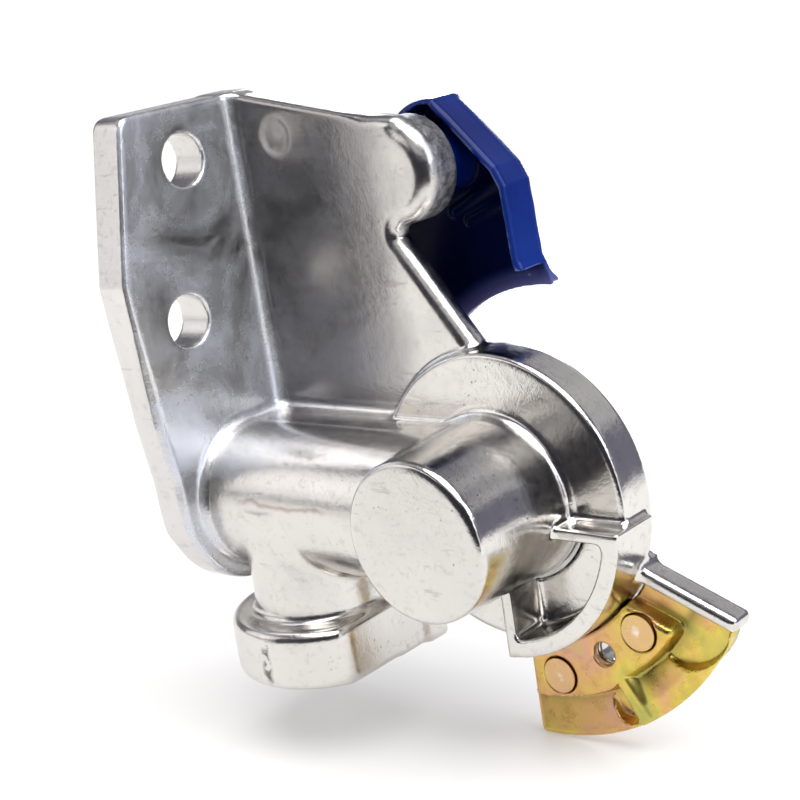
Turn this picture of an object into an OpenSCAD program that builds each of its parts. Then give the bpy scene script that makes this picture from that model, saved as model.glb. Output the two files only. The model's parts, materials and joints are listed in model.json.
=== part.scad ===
// Air-line quick disconnect coupler, wall mounted, with a swinging dust cover.
// Millimetres.  Origin: centre of the two wall bolts, on the mounting face.
// +X leaves the wall, +Y is the way the seal faces, +Z is up, away from the hose.

/* [Mounting plate] */
// Thickness of the plate against the wall
plate_t = 11; // [9:0.5:13]
// Diameter of the circle that both bolt holes lie on
bolt_pcd = 41.3; // [41:0.1:42]
// Diameter of each bolt hole
bolt_hole_d = 13.8; // [13:0.1:14.4]
// Lean of the bolt line away from the vertical
bolt_lean = 11; // [9:1:13]
// Height of the plate above the bolt centre
plate_top = 34.5; // [33:0.5:36]

/* [Body] */
// Height of the air passage below the bolt centre
passage_drop = 70; // [69:0.5:72]
// Outer radius of the horizontal tube
tube_r = 19; // [18.5:0.1:19.5]
// Distance of the tube's axis from the bolt line, towards the seal
tube_y = 8; // [7.5:0.1:8.5]
// Bore of the air passages
passage_r = 8; // [7:0.25:8.5]
// Thickness of the flat web
web_t = 8; // [7:0.5:9]
// Outer face of the coupling disc, on the seal side
disc_face_y = 31.5; // [31:0.5:32]

/* [Coupling head] */
// Distance of the seal's axis from the wall
head_x = 86; // [85.5:0.1:87]
// Radius of the coupling disc
disc_r = 37.2; // [36.8:0.1:37.4]
// Thickness of the disc's rim
disc_t = 12; // [11:0.5:13]
// Radius of the filter housing at its closed end
housing_r = 20.3; // [20:0.1:20.8]
// Length of the filter housing behind the disc
housing_l = 33.5; // [32:0.5:34]
// Draft on the housing's radius from its end to its foot
housing_draft = 1.3; // [1:0.1:1.5]

/* [Hose port] */
// Distance of the hose port from the wall
port_x = 31; // [30.5:0.1:31.5]
// Outer radius of the port collar
collar_r = 25.5; // [25:0.1:26]
// Height of the port collar
collar_h = 16; // [15.5:0.5:16.5]
// Lowest point of the collar, below the bolt centre
collar_drop = 115; // [114.5:0.1:115.5]
// Minor radius of the port thread
thread_r = 10.2; // [10:0.1:10.5]

/* [Detent plate] */
// Outer radius of the plate around the seal's axis
detent_r = 66; // [65.5:0.1:66.2]
// Sheet thickness
detent_t = 3; // [2.5:0.1:3]
// Depth of the pressed channel
detent_step = 4.5; // [4:0.1:4.8]
// Diameter of each rivet head
rivet_d = 9.4; // [9:0.1:10]

/* [Dust cover] */
// Distance of the cover's pivot from the wall
pivot_x = 62; // [61.5:0.1:62.5]
// Height of the cover's pivot above the bolt centre
pivot_z = 11; // [10.5:0.1:11.5]
// Radius of the pivot pin
pin_r = 4; // [3.9:0.05:4.1]
// Sheet thickness of the cover
cover_t = 2; // [1.8:0.1:2.1]
// Height of the cover's turned-up wall
cover_h = 11.5; // [11:0.1:12]
// Angle that the cover swings through to close over the seal
cover_swing = 42; // [41:0.5:43]

/* [Filter] */
// Radius of the filter chamber
chamber_r = 16; // [15.5:0.1:16.2]
// Wire diameter of the filter spring
spring_wire = 1.6; // [1.4:0.1:1.8]
// Turns of the filter spring
spring_turns = 4; // [3:1:5]

/* [Hidden] */
$fn = 72;
eps = 0.01;

head_z = -passage_drop;
tube_z = -passage_drop;
disc_y0 = disc_face_y - disc_t;
web_y0 = disc_face_y - web_t;
housing_y0 = disc_y0 - housing_l;
collar_z0 = -collar_drop;
collar_z1 = collar_z0 + collar_h;
bolt_y = bolt_pcd / 2 * sin(bolt_lean);
bolt_z = bolt_pcd / 2 * cos(bolt_lean);
bolt_r = bolt_hole_d / 2;

// Plate outline: the left edge follows the bolt line, the foot is round the tube.
plate_y0 = -22.8;
plate_knee_z = -7.2;
plate_low_z = -44.5;
plate_corner_y = -14.5;
plate_foot_r = 24.5;

// Pivot boss on the web
boss_r = 13.4;
boss_y1 = 35;
boss_bore_y = 26;

// Bowed guard around the filter housing, open on the side away from the seal
guard_r = 39.4;
guard_in_r = 34.6;
guard_y0 = 12.3;
guard_top_z = head_z - 3;
guard_left_x = head_x + 1.8;
guard_wall = 3;
pocket_y = 24.5;

// Ear that carries the detent plate, and the stop arm at its end
ear_y0 = 27;
ear_r = 53;
ear_left_x = head_x - 0.5;
arm_angle = -21.8;
arm_start = [121.2, -85.3];
arm_len = 28.5;
arm_t = 4;
arm_y0 = 23.8;
plate_near_y = ear_y0 - detent_t;
channel_near_y = plate_near_y + detent_step;
channel_r0 = 54;
channel_r1 = 63.5;
channel_left_x = ear_left_x - 3.6;
ridge_angle = -60.4;
strip_gap = 12.7;
plate_end_angle = -26.2;
rivet_r = rivet_d / 2;
rivet_shank_r = 3;
rivet_angles = [-44.3, -80.7];
rivet_pitch_r = [46.8, 48.8];
locating_hole = [22.3, -40.2];
locating_hole_r = 3.1;

// Filter chamber and seal seat, along the seal's axis
chamber_y0 = housing_y0 + 4;
frame_seat_y = 20;
frame_seat_r = 18;
seat_y = 24;
seat_r = 23;
seal_r = 22.9;
seal_lip_r = 19;
seal_bore_r = 13;
seal_face_y = 35;
mesh_r = 12.9;
cap_y0 = 1;
spring_r = 10;

// Cover
cover_y0 = 40;
cover_y1 = cover_y0 + cover_h;
floor_y0 = cover_y1 - cover_t;
hub_r = 8.5;
bush_r = 6.5;
running = 0.05;
cap_arm = norm([head_x - pivot_x, head_z - pivot_z]);
cap_angle = atan2(head_z - pivot_z, head_x - pivot_x) - cover_swing;
cap_x = pivot_x + cap_arm * cos(cap_angle);
cap_z = pivot_z + cap_arm * sin(cap_angle);
cap_r = 22;
cap_near_y = 39.5;
pad_r = 20;
pad_y0 = seal_face_y + 0.4;
arc_r = 47.5;

// Outline of the cover's floor, in X and Z, from the crown over the pivot to the
// thumb tip, and down to the cap.  The concave edge is cut by arc_r.
crown_r = 15.6;
cover_right = [[65, 26.3], [69.8, 21.8], [82.1, 9], [84.5, 4], [85, -5], [85.5, -15], [88, -21.6]];
hub_floor_y = 36.2;
tab_angle = 79;
tab_width = 20;
stop_r = 1.5;
stop_pitch_r = 10.8;
stop_angle = tab_angle + tab_width + cover_swing + 9;
washer_t = 1;
clip_y0 = 53.4;
pin_y1 = 56;

// --- Helpers -------------------------------------------------------------

// Flat shape in X and Z, made solid from y0 to y1.
module along_y(y0, y1) {
  translate([0, y1, 0]) rotate([90, 0, 0]) linear_extrude(y1 - y0) children();
}

// Flat shape in Y and Z, made solid from x0 to x1.
module along_x(x0, x1) {
  translate([x0, 0, 0]) rotate([90, 0, 90]) linear_extrude(x1 - x0) children();
}

// Round bar or cone along Y at (x, z).
module bar_y(x, z, y0, y1, r, r_end = -1) {
  translate([x, y0, z]) rotate([-90, 0, 0])
    cylinder(h = y1 - y0, r1 = r, r2 = r_end < 0 ? r : r_end);
}

// Round bar along X at (y, z).
module bar_x(y, z, x0, x1, r) {
  translate([x0, y, z]) rotate([0, 90, 0]) cylinder(h = x1 - x0, r = r);
}

// Round bar or cone up Z at (x, y).
module bar_z(x, y, z0, z1, r, r_end = -1) {
  translate([x, y, z0]) cylinder(h = z1 - z0, r1 = r, r2 = r_end < 0 ? r : r_end);
}

// Ring around an axis along Y.
module ring_y(x, z, y0, y1, r_in, r_out) {
  difference() {
    bar_y(x, z, y0, y1, r_out);
    bar_y(x, z, y0 - 1, y1 + 1, r_in);
  }
}

// Wedge in X and Z around the seal's axis, between two angles.
module wedge(a0, a1, r = 90) {
  steps = 6;
  polygon(concat([[head_x, head_z]],
    [for (i = [0:steps]) let (a = a0 + (a1 - a0) * i / steps)
      [head_x + r * cos(a), head_z + r * sin(a)]]));
}

// Part of a flat ring around the seal's axis.
module sector(r_in, r_out, a0, a1) {
  intersection() {
    difference() {
      translate([head_x, head_z]) circle(r_out);
      translate([head_x, head_z]) circle(r_in);
    }
    wedge(a0, a1);
  }
}

// --- Body ----------------------------------------------------------------

module plate_outline() {
  polygon([[plate_corner_y + 3.4, plate_top], [disc_face_y, plate_top], [disc_face_y, tube_z],
    [tube_y, tube_z - plate_foot_r + 2], [tube_y - plate_foot_r + 0.6, tube_z - 6],
    [plate_y0 + 2.4, plate_low_z], [plate_y0, plate_knee_z], [plate_corner_y - 0.9, plate_top - 6],
    [plate_corner_y + 0.6, plate_top - 1.6]]);
  translate([tube_y, tube_z]) circle(plate_foot_r);
}

module web_outline() {
  polygon([[1, plate_top], [8.7, plate_top], [pivot_x + 3, pivot_z + boss_r - 0.4],
    [pivot_x, pivot_z], [pivot_x - 0.7, -5.3], [81.8, -33], [head_x, head_z],
    [port_x + 20.5, head_z], [port_x + 20.5, collar_z0], [port_x - 16, collar_z0],
    [port_x - 16, tube_z], [1, tube_z]]);
}

module tube_solid() {
  bar_x(tube_y, tube_z, 1, head_x - 12, tube_r);
  translate([1, tube_y, tube_z]) cube([head_x - 24, web_y0 - tube_y + 1, tube_r]);
}

module port_solid() {
  bar_z(port_x, tube_y, collar_z1 - 1, tube_z, 18.4);
  intersection() {
    union() {
      bar_z(port_x, tube_y, collar_z0, collar_z1, collar_r);
      translate([port_x - 16, tube_y, collar_z0]) cube([60, disc_face_y - tube_y, collar_h]);
    }
    translate([0, -30, collar_z0]) cube([port_x + 20.5, 30 + disc_face_y, collar_h]);
  }
}

module guard_solid() {
  along_y(guard_y0, ear_y0 + 1) intersection() {
    translate([head_x, head_z]) circle(guard_r);
    translate([guard_left_x, guard_top_z - 60]) square([60, 60]);
  }
}

module guard_pocket() {
  along_y(guard_y0 - 1, pocket_y) intersection() {
    translate([head_x, head_z]) circle(guard_in_r);
    translate([guard_left_x + guard_wall, guard_top_z - guard_wall - 60]) square([60, 60]);
  }
}

module ear_solid() {
  along_y(ear_y0, disc_face_y) difference() {
    intersection() {
      sector(disc_r - 3, ear_r, -96, -22);
      translate([ear_left_x, head_z - 70]) square([80, 80]);
    }
    difference() {
      beside_arm(strip_gap + 0.05);
      translate([head_x, head_z]) circle(disc_r);
    }
  }
  // Web between the disc and the inner edge of the detent plate
  along_y(ear_y0, disc_face_y) sector(disc_r - 3, guard_r + 0.2, -62, -22);
  along_y(arm_y0, disc_face_y) translate(arm_start) rotate(arm_angle)
    translate([-6, -arm_t]) square([arm_len + 6, arm_t]);
}

module housing_solid() {
  bar_y(head_x, head_z, housing_y0, disc_y0 + 1, housing_r, housing_r + housing_draft);
  bar_y(head_x, head_z, disc_y0 - 2.5, disc_y0 + eps, housing_r + housing_draft, 24);
}

module body_casting() {
  color("silver") difference() {
    union() {
      along_x(0, plate_t) plate_outline();
      along_y(web_y0, disc_face_y) web_outline();
      bar_y(pivot_x, pivot_z, web_y0, boss_y1, boss_r);
      tube_solid();
      port_solid();
      bar_y(head_x, head_z, disc_y0, disc_face_y, disc_r);
      difference() {
        guard_solid();
        guard_pocket();
      }
      ear_solid();
      housing_solid();
      intersection() {
        bar_y(head_x, head_z, pocket_y - 1, ear_y0 + 1, guard_r);
        along_y(pocket_y - 1, ear_y0 + 1) wedge(-89, -6);
      }
    }
    for (side = [-1, 1])
      bar_x(side * bolt_y, side * bolt_z, -1, plate_t + 1, bolt_r);
    // Rear port, stepped down to the passage
    bar_x(tube_y, tube_z, -1, plate_t, thread_r);
    bar_x(tube_y, tube_z, -1, head_x - 10, passage_r);
    // Hose port
    bar_z(port_x, tube_y, collar_z0 + 1, collar_z1, thread_r);
    bar_z(port_x, tube_y, collar_z0 - eps, collar_z0 + 1, thread_r + 1.2, thread_r);
    bar_z(port_x, tube_y, collar_z0, tube_z, passage_r);
    // Filter chamber and seal seat
    bar_y(head_x, head_z, chamber_y0, disc_face_y + 1, chamber_r);
    bar_y(head_x, head_z, frame_seat_y, disc_face_y + 1, frame_seat_r);
    bar_y(head_x, head_z, seat_y, disc_face_y + 1, seat_r);
    // Cover pivot and stop pin
    bar_y(pivot_x, pivot_z, boss_bore_y, boss_y1 + 1, pin_r + running);
    bar_y(pivot_x + stop_pitch_r * cos(stop_angle), pivot_z + stop_pitch_r * sin(stop_angle),
      28, boss_y1 + 1, stop_r);
    // Rivet shanks and the locating hole
    for (i = [0, 1])
      bar_y(head_x + rivet_pitch_r[i] * cos(rivet_angles[i]),
        head_z + rivet_pitch_r[i] * sin(rivet_angles[i]), ear_y0 - 1, disc_face_y + 1, rivet_shank_r);
    bar_y(head_x + locating_hole[0], head_z + locating_hole[1],
      ear_y0 - 1, disc_face_y + 1, locating_hole_r);
  }
}

// --- Detent plate --------------------------------------------------------

// Everything on the arm's side of a line that runs beside the arm.
module beside_arm(gap) {
  translate(arm_start) rotate(arm_angle) translate([-40, -gap]) square([110, 80]);
}

module flat_strip_outline() {
  difference() {
    sector(guard_r + 0.3, channel_r0 + detent_t, -95, -22);
    beside_arm(strip_gap);
  }
}

// Wall where the strip drops to the recess beside the arm.
module strip_end_outline() {
  intersection() {
    sector(guard_r + 0.3, channel_r0 + detent_t, -60, -22);
    difference() {
      beside_arm(strip_gap);
      beside_arm(strip_gap - detent_t);
    }
  }
}

module channel_outline() {
  sector(channel_r0, detent_r, -95, ridge_angle - 2.6);
  sector(channel_r0, detent_r, ridge_angle + 1.6, plate_end_angle);
  intersection() {
    sector(guard_r + 0.3, channel_r0 + 1, -60, -22);
    beside_arm(strip_gap);
  }
}

// Keeps what lies to the right of x.
module right_of(x) {
  intersection() {
    children();
    along_y(plate_near_y, disc_face_y + 10) translate([x, head_z - 70]) square([90, 90]);
  }
}

module detent_plate() {
  color("goldenrod") difference() {
    union() {
      right_of(ear_left_x) union() {
        along_y(plate_near_y, ear_y0) flat_strip_outline();
        // Turned wall between the strip and the channel
        along_y(plate_near_y, channel_near_y + detent_t)
          difference() {
            sector(channel_r0, channel_r0 + detent_t, -95, -22);
            beside_arm(strip_gap);
          }
        along_y(plate_near_y, channel_near_y + detent_t) strip_end_outline();
        // Detent ridge
        along_y(plate_near_y, channel_near_y + detent_t)
          sector(channel_r0, detent_r, ridge_angle - 2.6, ridge_angle + 1.6);
      }
      // Channel, which runs a little past the strip on the left
      right_of(channel_left_x) union() {
        along_y(channel_near_y, channel_near_y + detent_t) channel_outline();
        // Raised outer rim
        along_y(channel_near_y - 2, channel_near_y + detent_t)
          sector(channel_r1, detent_r, -95, plate_end_angle);
      }
    }
    // Clear of the stop arm
    along_y(plate_near_y - 1, disc_face_y + 5) beside_arm(arm_t + 0.05);
    for (i = [0, 1])
      bar_y(head_x + rivet_pitch_r[i] * cos(rivet_angles[i]),
        head_z + rivet_pitch_r[i] * sin(rivet_angles[i]), plate_near_y - 1, ear_y0 + 1, rivet_shank_r);
    for (i = [0, 1])
      bar_y(head_x + rivet_pitch_r[i] * cos(rivet_angles[i]),
        head_z + rivet_pitch_r[i] * sin(rivet_angles[i]),
        plate_near_y - eps, plate_near_y + 1.5, rivet_r + 0.1);
    bar_y(head_x + locating_hole[0], head_z + locating_hole[1],
      plate_near_y - 1, ear_y0 + 1, locating_hole_r);
  }
}

// Flush head on the plate, shank through the ear, set head on the seal side.
module rivet(i) {
  x = head_x + rivet_pitch_r[i] * cos(rivet_angles[i]);
  z = head_z + rivet_pitch_r[i] * sin(rivet_angles[i]);
  color("goldenrod") {
    bar_y(x, z, plate_near_y - 0.3, plate_near_y + 1.5, rivet_r);
    bar_y(x, z, plate_near_y + 1, disc_face_y + 1, rivet_shank_r - 0.02);
    bar_y(x, z, disc_face_y, disc_face_y + 2, rivet_r - 0.5, rivet_r - 2);
  }
}

module rivet_upper() { rivet(0); }

module rivet_lower() { rivet(1); }

// --- Seal and filter -----------------------------------------------------

module face_seal() {
  color("black") translate([head_x, 0, head_z]) rotate([-90, 0, 0]) rotate_extrude()
    polygon([[seal_bore_r, seat_y + 2.1], [seal_r, seat_y + 2.1], [seal_r, disc_face_y - 1.3],
      [seal_lip_r + 1, disc_face_y], [seal_lip_r, seal_face_y], [seal_bore_r + 1, seal_face_y],
      [seal_bore_r - 0.6, seal_face_y - 2]]);
}

module seal_ring() {
  color("gainsboro") ring_y(head_x, head_z, seat_y + 0.05, seat_y + 2.05, seal_bore_r - 1, seal_r - 0.1);
}

module filter_frame() {
  color("white") difference() {
    union() {
      ring_y(head_x, head_z, frame_seat_y + 0.05, frame_seat_y + 2, mesh_r - 1, frame_seat_r - 0.1);
      ring_y(head_x, head_z, cap_y0 + 2, frame_seat_y + 1, mesh_r, mesh_r + 1.4);
    }
    for (i = [0:3])
      translate([head_x, 0, head_z]) rotate([0, i * 90 + 20, 0])
        translate([mesh_r - 2, cap_y0 + 5, -6]) cube([8, 11.5, 12]);
  }
}

module filter_mesh() {
  color("lightgray") ring_y(head_x, head_z, cap_y0 + 2.05, frame_seat_y - 0.05, mesh_r - 0.6, mesh_r - 0.05);
}

module filter_cap() {
  color("white") {
    bar_y(head_x, head_z, cap_y0, cap_y0 + 1.95, mesh_r + 1.4);
    bar_y(head_x, head_z, cap_y0 - 3, cap_y0 + 1, spring_r - spring_wire);
  }
}

// Round-wire coil from the chamber's floor to the filter's cap.
module filter_spring() {
  sides = 8;
  steps = 24 * spring_turns;
  low = chamber_y0 + spring_wire / 2 + 0.05;
  rise = cap_y0 - chamber_y0 - spring_wire - 0.1;
  rings = [for (i = [0:steps]) for (j = [0:sides - 1])
    let (turn = i * 360 * spring_turns / steps, side = j * 360 / sides,
      r = spring_r + spring_wire / 2 * cos(side))
    [head_x + r * cos(turn), low + rise * i / steps + spring_wire / 2 * sin(side),
      head_z + r * sin(turn)]];
  walls = [for (i = [0:steps - 1]) for (j = [0:sides - 1])
    let (k = (j + 1) % sides)
    [i * sides + j, i * sides + k, (i + 1) * sides + k, (i + 1) * sides + j]];
  ends = [[for (j = [0:sides - 1]) sides - 1 - j], [for (j = [0:sides - 1]) steps * sides + j]];
  color("dimgray") polyhedron(rings, concat(walls, ends), convexity = 8);
}

module filter_oring() {
  color("black") translate([head_x, frame_seat_y + 2.9, head_z]) rotate([-90, 0, 0])
    rotate_extrude() translate([frame_seat_r - 1.4, 0]) circle(0.85, $fn = 24);
}

// --- Rear port -----------------------------------------------------------

module rear_plug() {
  color("gray") difference() {
    bar_x(tube_y, tube_z, 0.5, plate_t - 1.6, thread_r - 0.02);
    translate([-1, tube_y, tube_z]) rotate([0, 90, 0]) cylinder(h = 7, r = 5.8, $fn = 6);
  }
}

module rear_gasket() {
  color("darkgoldenrod") difference() {
    bar_x(tube_y, tube_z, plate_t - 1.55, plate_t - 0.05, thread_r - 0.1);
    bar_x(tube_y, tube_z, plate_t - 3, plate_t + 1, passage_r);
  }
}

// --- Dust cover ----------------------------------------------------------

// Straight edges of the pressed sheet, between the crown and the cap.
module cover_blank() {
  polygon(concat(cover_right, [[cap_x + 14, cap_z + 6],
    [cap_x + (cap_r - 1) * cos(cap_angle + 70), cap_z + (cap_r - 1) * sin(cap_angle + 70)],
    [cap_x + (cap_r - 0.4) * cos(cap_angle - 86), cap_z + (cap_r - 0.4) * sin(cap_angle - 86)],
    [pivot_x + (crown_r - 0.3) * cos(cap_angle - 86),
      pivot_z + (crown_r - 0.3) * sin(cap_angle - 86)],
    [pivot_x - 1, pivot_z + crown_r - 0.4]]));
}

// Whole outline made solid from y0 to y1, drawn in by an inset.
module cover_block(y0, y1, inset = 0) {
  difference() {
    union() {
      intersection() {
        bar_y(pivot_x, pivot_z, y0, y1, crown_r - inset);
        translate([pivot_x - 30, y0 - 1, pivot_z - 30]) cube([33 - inset / 2, 40, 60]);
      }
      along_y(y0, y1) offset(delta = -inset) cover_blank();
    }
    bar_y(head_x, head_z, y0 - 1, y1 + 1, arc_r);
  }
  bar_y(cap_x, cap_z, y0, y1, cap_r - inset);
}

module dust_cover() {
  color("royalblue") difference() {
    union() {
      // Pressed pan, open towards the seat, with no wall along the concave edge
      difference() {
        cover_block(cover_y0, cover_y1);
        cover_block(cover_y0 - 1, floor_y0, cover_t);
        bar_y(head_x, head_z, cover_y0 - 1, floor_y0, arc_r + 5);
      }
      // Drawn cap that holds the pad
      bar_y(cap_x, cap_z, cap_near_y, cover_y1 - 0.5, cap_r - 0.2);
      // Hub on the pivot, with its stop tab
      bar_y(pivot_x, pivot_z, hub_floor_y, cover_y1 - 0.5, hub_r);
      along_y(hub_floor_y, hub_floor_y + 3) translate([pivot_x, pivot_z])
        polygon([[0, 0], [12.4 * cos(tab_angle), 12.4 * sin(tab_angle)],
          [12.4 * cos(tab_angle + tab_width), 12.4 * sin(tab_angle + tab_width)]]);
      // Stiffening bead from the hub to the wall
      along_y(floor_y0 - 2, floor_y0 + 1) translate([pivot_x + 2, pivot_z - 11]) rotate(27)
        square([17, 4]);
    }
    bar_y(cap_x, cap_z, cap_near_y + cover_t, cover_y1 + 1, cap_r - cover_t);
    bar_y(cap_x, cap_z, cap_near_y - 1, cover_y1, 2.55);
    bar_y(pivot_x, pivot_z, hub_floor_y - 1, cover_y1 + 1, bush_r + 0.02);
  }
}

module cover_pad() {
  color("black") difference() {
    bar_y(cap_x, cap_z, pad_y0, cap_near_y - 0.02, pad_r);
    bar_y(cap_x, cap_z, pad_y0 - 1, pad_y0 + 1.6, 5.4);
    bar_y(cap_x, cap_z, pad_y0 - 1, cap_near_y + 1, 2.55);
  }
}

module pad_rivet() {
  color("silver") {
    bar_y(cap_x, cap_z, pad_y0 + 0.5, pad_y0 + 1.55, 5);
    bar_y(cap_x, cap_z, pad_y0 + 1, cap_near_y + cover_t + 1, 2.5);
    bar_y(cap_x, cap_z, cap_near_y + cover_t + 0.05, cap_near_y + cover_t + 1.4, 4.5, 3);
  }
}

// --- Pivot ---------------------------------------------------------------

module pivot_pin() {
  color("silver") difference() {
    bar_y(pivot_x, pivot_z, boss_bore_y + 0.1, pin_y1, pin_r);
    ring_y(pivot_x, pivot_z, clip_y0 - 0.05, clip_y0 + washer_t + 0.05, pin_r - 0.9, pin_r + 2);
  }
}

module pivot_bush() {
  color("peru") ring_y(pivot_x, pivot_z, hub_floor_y + 0.1, cover_y1, pin_r + running, bush_r);
}

module thrust_washer() {
  color("gainsboro")
    ring_y(pivot_x, pivot_z, boss_y1 + 0.05, boss_y1 + washer_t + 0.05, pin_r + running, hub_r);
}

module wave_washer() {
  color("gainsboro")
    ring_y(pivot_x, pivot_z, cover_y1 + 0.1, cover_y1 + 0.8, pin_r + running, hub_r);
}

module flat_washer() {
  color("gainsboro")
    ring_y(pivot_x, pivot_z, cover_y1 + 0.85, clip_y0 - 0.05, pin_r + running, hub_r);
}

// Open retaining ring in the pin's groove.
module pin_clip() {
  color("dimgray") difference() {
    ring_y(pivot_x, pivot_z, clip_y0, clip_y0 + washer_t, pin_r - 0.85, pin_r + 2.6);
    translate([pivot_x - 2.2, clip_y0 - 1, pivot_z - 12]) cube([4.4, 4, 12]);
  }
}

module stop_pin() {
  color("gray")
    bar_y(pivot_x + stop_pitch_r * cos(stop_angle), pivot_z + stop_pitch_r * sin(stop_angle),
      28.1, boss_y1 + 4, stop_r - 0.02);
}

body_casting();
detent_plate();
rivet_upper();
rivet_lower();
face_seal();
seal_ring();
filter_frame();
filter_mesh();
filter_cap();
filter_spring();
filter_oring();
rear_plug();
rear_gasket();
dust_cover();
cover_pad();
pad_rivet();
pivot_pin();
pivot_bush();
thrust_washer();
wave_washer();
flat_washer();
pin_clip();
stop_pin();
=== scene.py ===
import functools
import itertools
import json
import math

import bmesh
import bpy
import numpy as np
from mathutils import Matrix, Vector


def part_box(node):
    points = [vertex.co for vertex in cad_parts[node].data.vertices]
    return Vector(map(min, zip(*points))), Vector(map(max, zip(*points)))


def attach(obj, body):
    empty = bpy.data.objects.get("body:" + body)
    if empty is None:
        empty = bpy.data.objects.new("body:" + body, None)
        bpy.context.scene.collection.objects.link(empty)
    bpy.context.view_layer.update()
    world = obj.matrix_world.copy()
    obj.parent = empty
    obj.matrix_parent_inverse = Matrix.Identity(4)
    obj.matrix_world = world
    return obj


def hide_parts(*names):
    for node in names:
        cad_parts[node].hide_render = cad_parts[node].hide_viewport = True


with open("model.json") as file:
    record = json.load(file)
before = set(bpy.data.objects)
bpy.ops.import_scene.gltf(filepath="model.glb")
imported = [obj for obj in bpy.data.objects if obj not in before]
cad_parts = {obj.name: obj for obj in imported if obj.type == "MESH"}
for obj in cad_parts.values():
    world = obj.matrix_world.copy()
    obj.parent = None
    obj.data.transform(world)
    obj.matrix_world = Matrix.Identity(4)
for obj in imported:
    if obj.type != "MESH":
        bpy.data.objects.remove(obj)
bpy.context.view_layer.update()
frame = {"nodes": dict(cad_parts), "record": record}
MM = 0.001


# ---------------------------------------------------------------- places, in mm, from the CAD nodes
def axis_of(node):
    """The x and z of a CAD node's middle, where its axis along Y passes."""
    low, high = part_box(node)
    return (low[0] + high[0]) / 2 / MM, (low[2] + high[2]) / 2 / MM


cast_low, cast_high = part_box("body_casting")
PLATE_TOP = cast_high[2] / MM
CAST_FOOT = cast_low[2] / MM
HEAD = axis_of("face_seal")
HEAD_X, HEAD_Z = HEAD
PIVOT = axis_of("pivot_pin")
PIVOT_X, PIVOT_Z = PIVOT
CAP = axis_of("cover_pad")
CAP_X, CAP_Z = CAP

# ---------------------------------------------------------------- sizes, in mm and degrees
# Spacing of the points at which each shape is worked out
CAST_STEP = 0.64
SHEET_STEP = 0.42
COVER_STEP = 0.5
# Plate, tube and hose port. The flat seal side is the plane y = FACE_Y.
FACE_Y = 31.5
PLATE_T = 11.0
PLATE_CORNER_R = 4.5
PLATE_FOOT_R = 24.5
BOLTS = [(-3.94, -20.27), (3.94, 20.27)]
BOLT_R = 6.9
WEB_Y = 23.5
TUBE_Y = 8.0
TUBE_R = 19.0
TUBE = (TUBE_Y, HEAD_Z)
PASSAGE_R = 8
THREAD_R = 10.2
PORT = (31.0, TUBE_Y)
NECK_R = 18.4
COLLAR_R = 25.5
COLLAR_H = 16.0
COLLAR_Z = -115.0
COLLAR_RIGHT = 51.5
# Head: disc, filter housing and its half-moon guard
DISC_R = 37.2
DISC_Y = 19.5
HOUSING_R = 20.3
HOUSING_DRAFT = 1.3
HOUSING_L = 33.5
HOUSING_Y = -14.0
SEAT_BORES = ((16, HOUSING_Y + 4), (18, 20), (23.0, 24))
GUARD_X = HEAD_X + 1.8
GUARD_Z = HEAD_Z - 3
GUARD_R = 39.4
GUARD_IN_R = 34.8
GUARD_WALL = 3
GUARD_Y = 12.3
POCKET_Y = 24.5
# Pivot boss
BOSS_R = 13.4
BOSS_ROOT_Y = 28.3
BOSS_Y = 35
PIN_HOLE_R = 4.1
PIN_HOLE_Y = 26
# Ear, stop arm and detent sheet. Rivets and the locating hole are at a radius and angle from the head.
EAR_LEFT = HEAD_X - 0.5
EAR_IN_R = 34
EAR_R = 53
EAR_END = -22
EAR_Y = 27
EAR_DROP = 12.8
EAR_ROOT_R = 39.6
EAR_ROOT_END = -62
ARM_START = (121.2, -85.3)
ARM_ANGLE = -21.8
ARM_L = 28.4
ARM_T = 4.0
ARM_Y = 23.8
SHEET_Y = 24.05
SHEET_R = 65.9
RIDGE_ANGLE = -60.4
RIDGE_HALF = 1.1
RIVETS = [(46.8, -44.3), (48.8, -80.7)]
LOCATING_HOLE = (45.97, -61.0)
SHEET_LOCATING_HOLE = (HEAD_X + 22.3, HEAD_Z - 40.2)
CAST_HOLE_R = 3.05
SHEET_HOLE_R = 3.1
RIVET_SEAT_R = 4.95
# Dust cover, a pan with its floor at the back, open towards the seal. Its cap holds the pad.
COVER_Y = 40
FLOOR_Y = 49.6
RIM_Y = 51.4
SEAL_EDGE_R = 46.9
HUB_R = 8.4
HUB_Y = 36.2
BUSH_R = 6.55
CAP_R = 21.9
CAP_Y = 39.5
PAD_R = 20.0
PAD_Y = 41.5
PAD_RIVET_R = 2.6


def deg(a):
    """Degrees as radians."""
    return a * math.pi / 180


def spot(centre, radius, angle):
    """The point at that radius and angle from a centre."""
    return centre[0] + radius * math.cos(deg(angle)), centre[1] + radius * math.sin(deg(angle))


# ---------------------------------------------------------------- distance fields
class Grid:
    """Evenly spaced points from one corner to the other, as three arrays that broadcast together."""

    def __init__(self, low, high, step):
        self.low = np.array(low, float)
        self.step = step
        count = [int(math.ceil((h - l) / step)) + 1 for l, h in zip(low, high)]
        ax = [np.arange(n) * step + l for n, l in zip(count, low)]
        self.x = ax[0][:, None, None]
        self.y = ax[1][None, :, None]
        self.z = ax[2][None, None, :]


def join(a, b, r=0.0):
    """Both shapes, with a fillet of radius r where they meet."""
    if np.all(np.asarray(r) <= 0):
        return np.minimum(a, b)
    u, v = np.maximum(r - a, 0), np.maximum(r - b, 0)
    return np.maximum(r, np.minimum(a, b)) - np.sqrt(u * u + v * v)


def meet(a, b, r=0.0):
    """What the shapes share, with its new edge rounded to radius r."""
    if np.all(np.asarray(r) <= 0):
        return np.maximum(a, b)
    u, v = np.maximum(r + a, 0), np.maximum(r + b, 0)
    return np.minimum(-r, np.maximum(a, b)) + np.sqrt(u * u + v * v)


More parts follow.
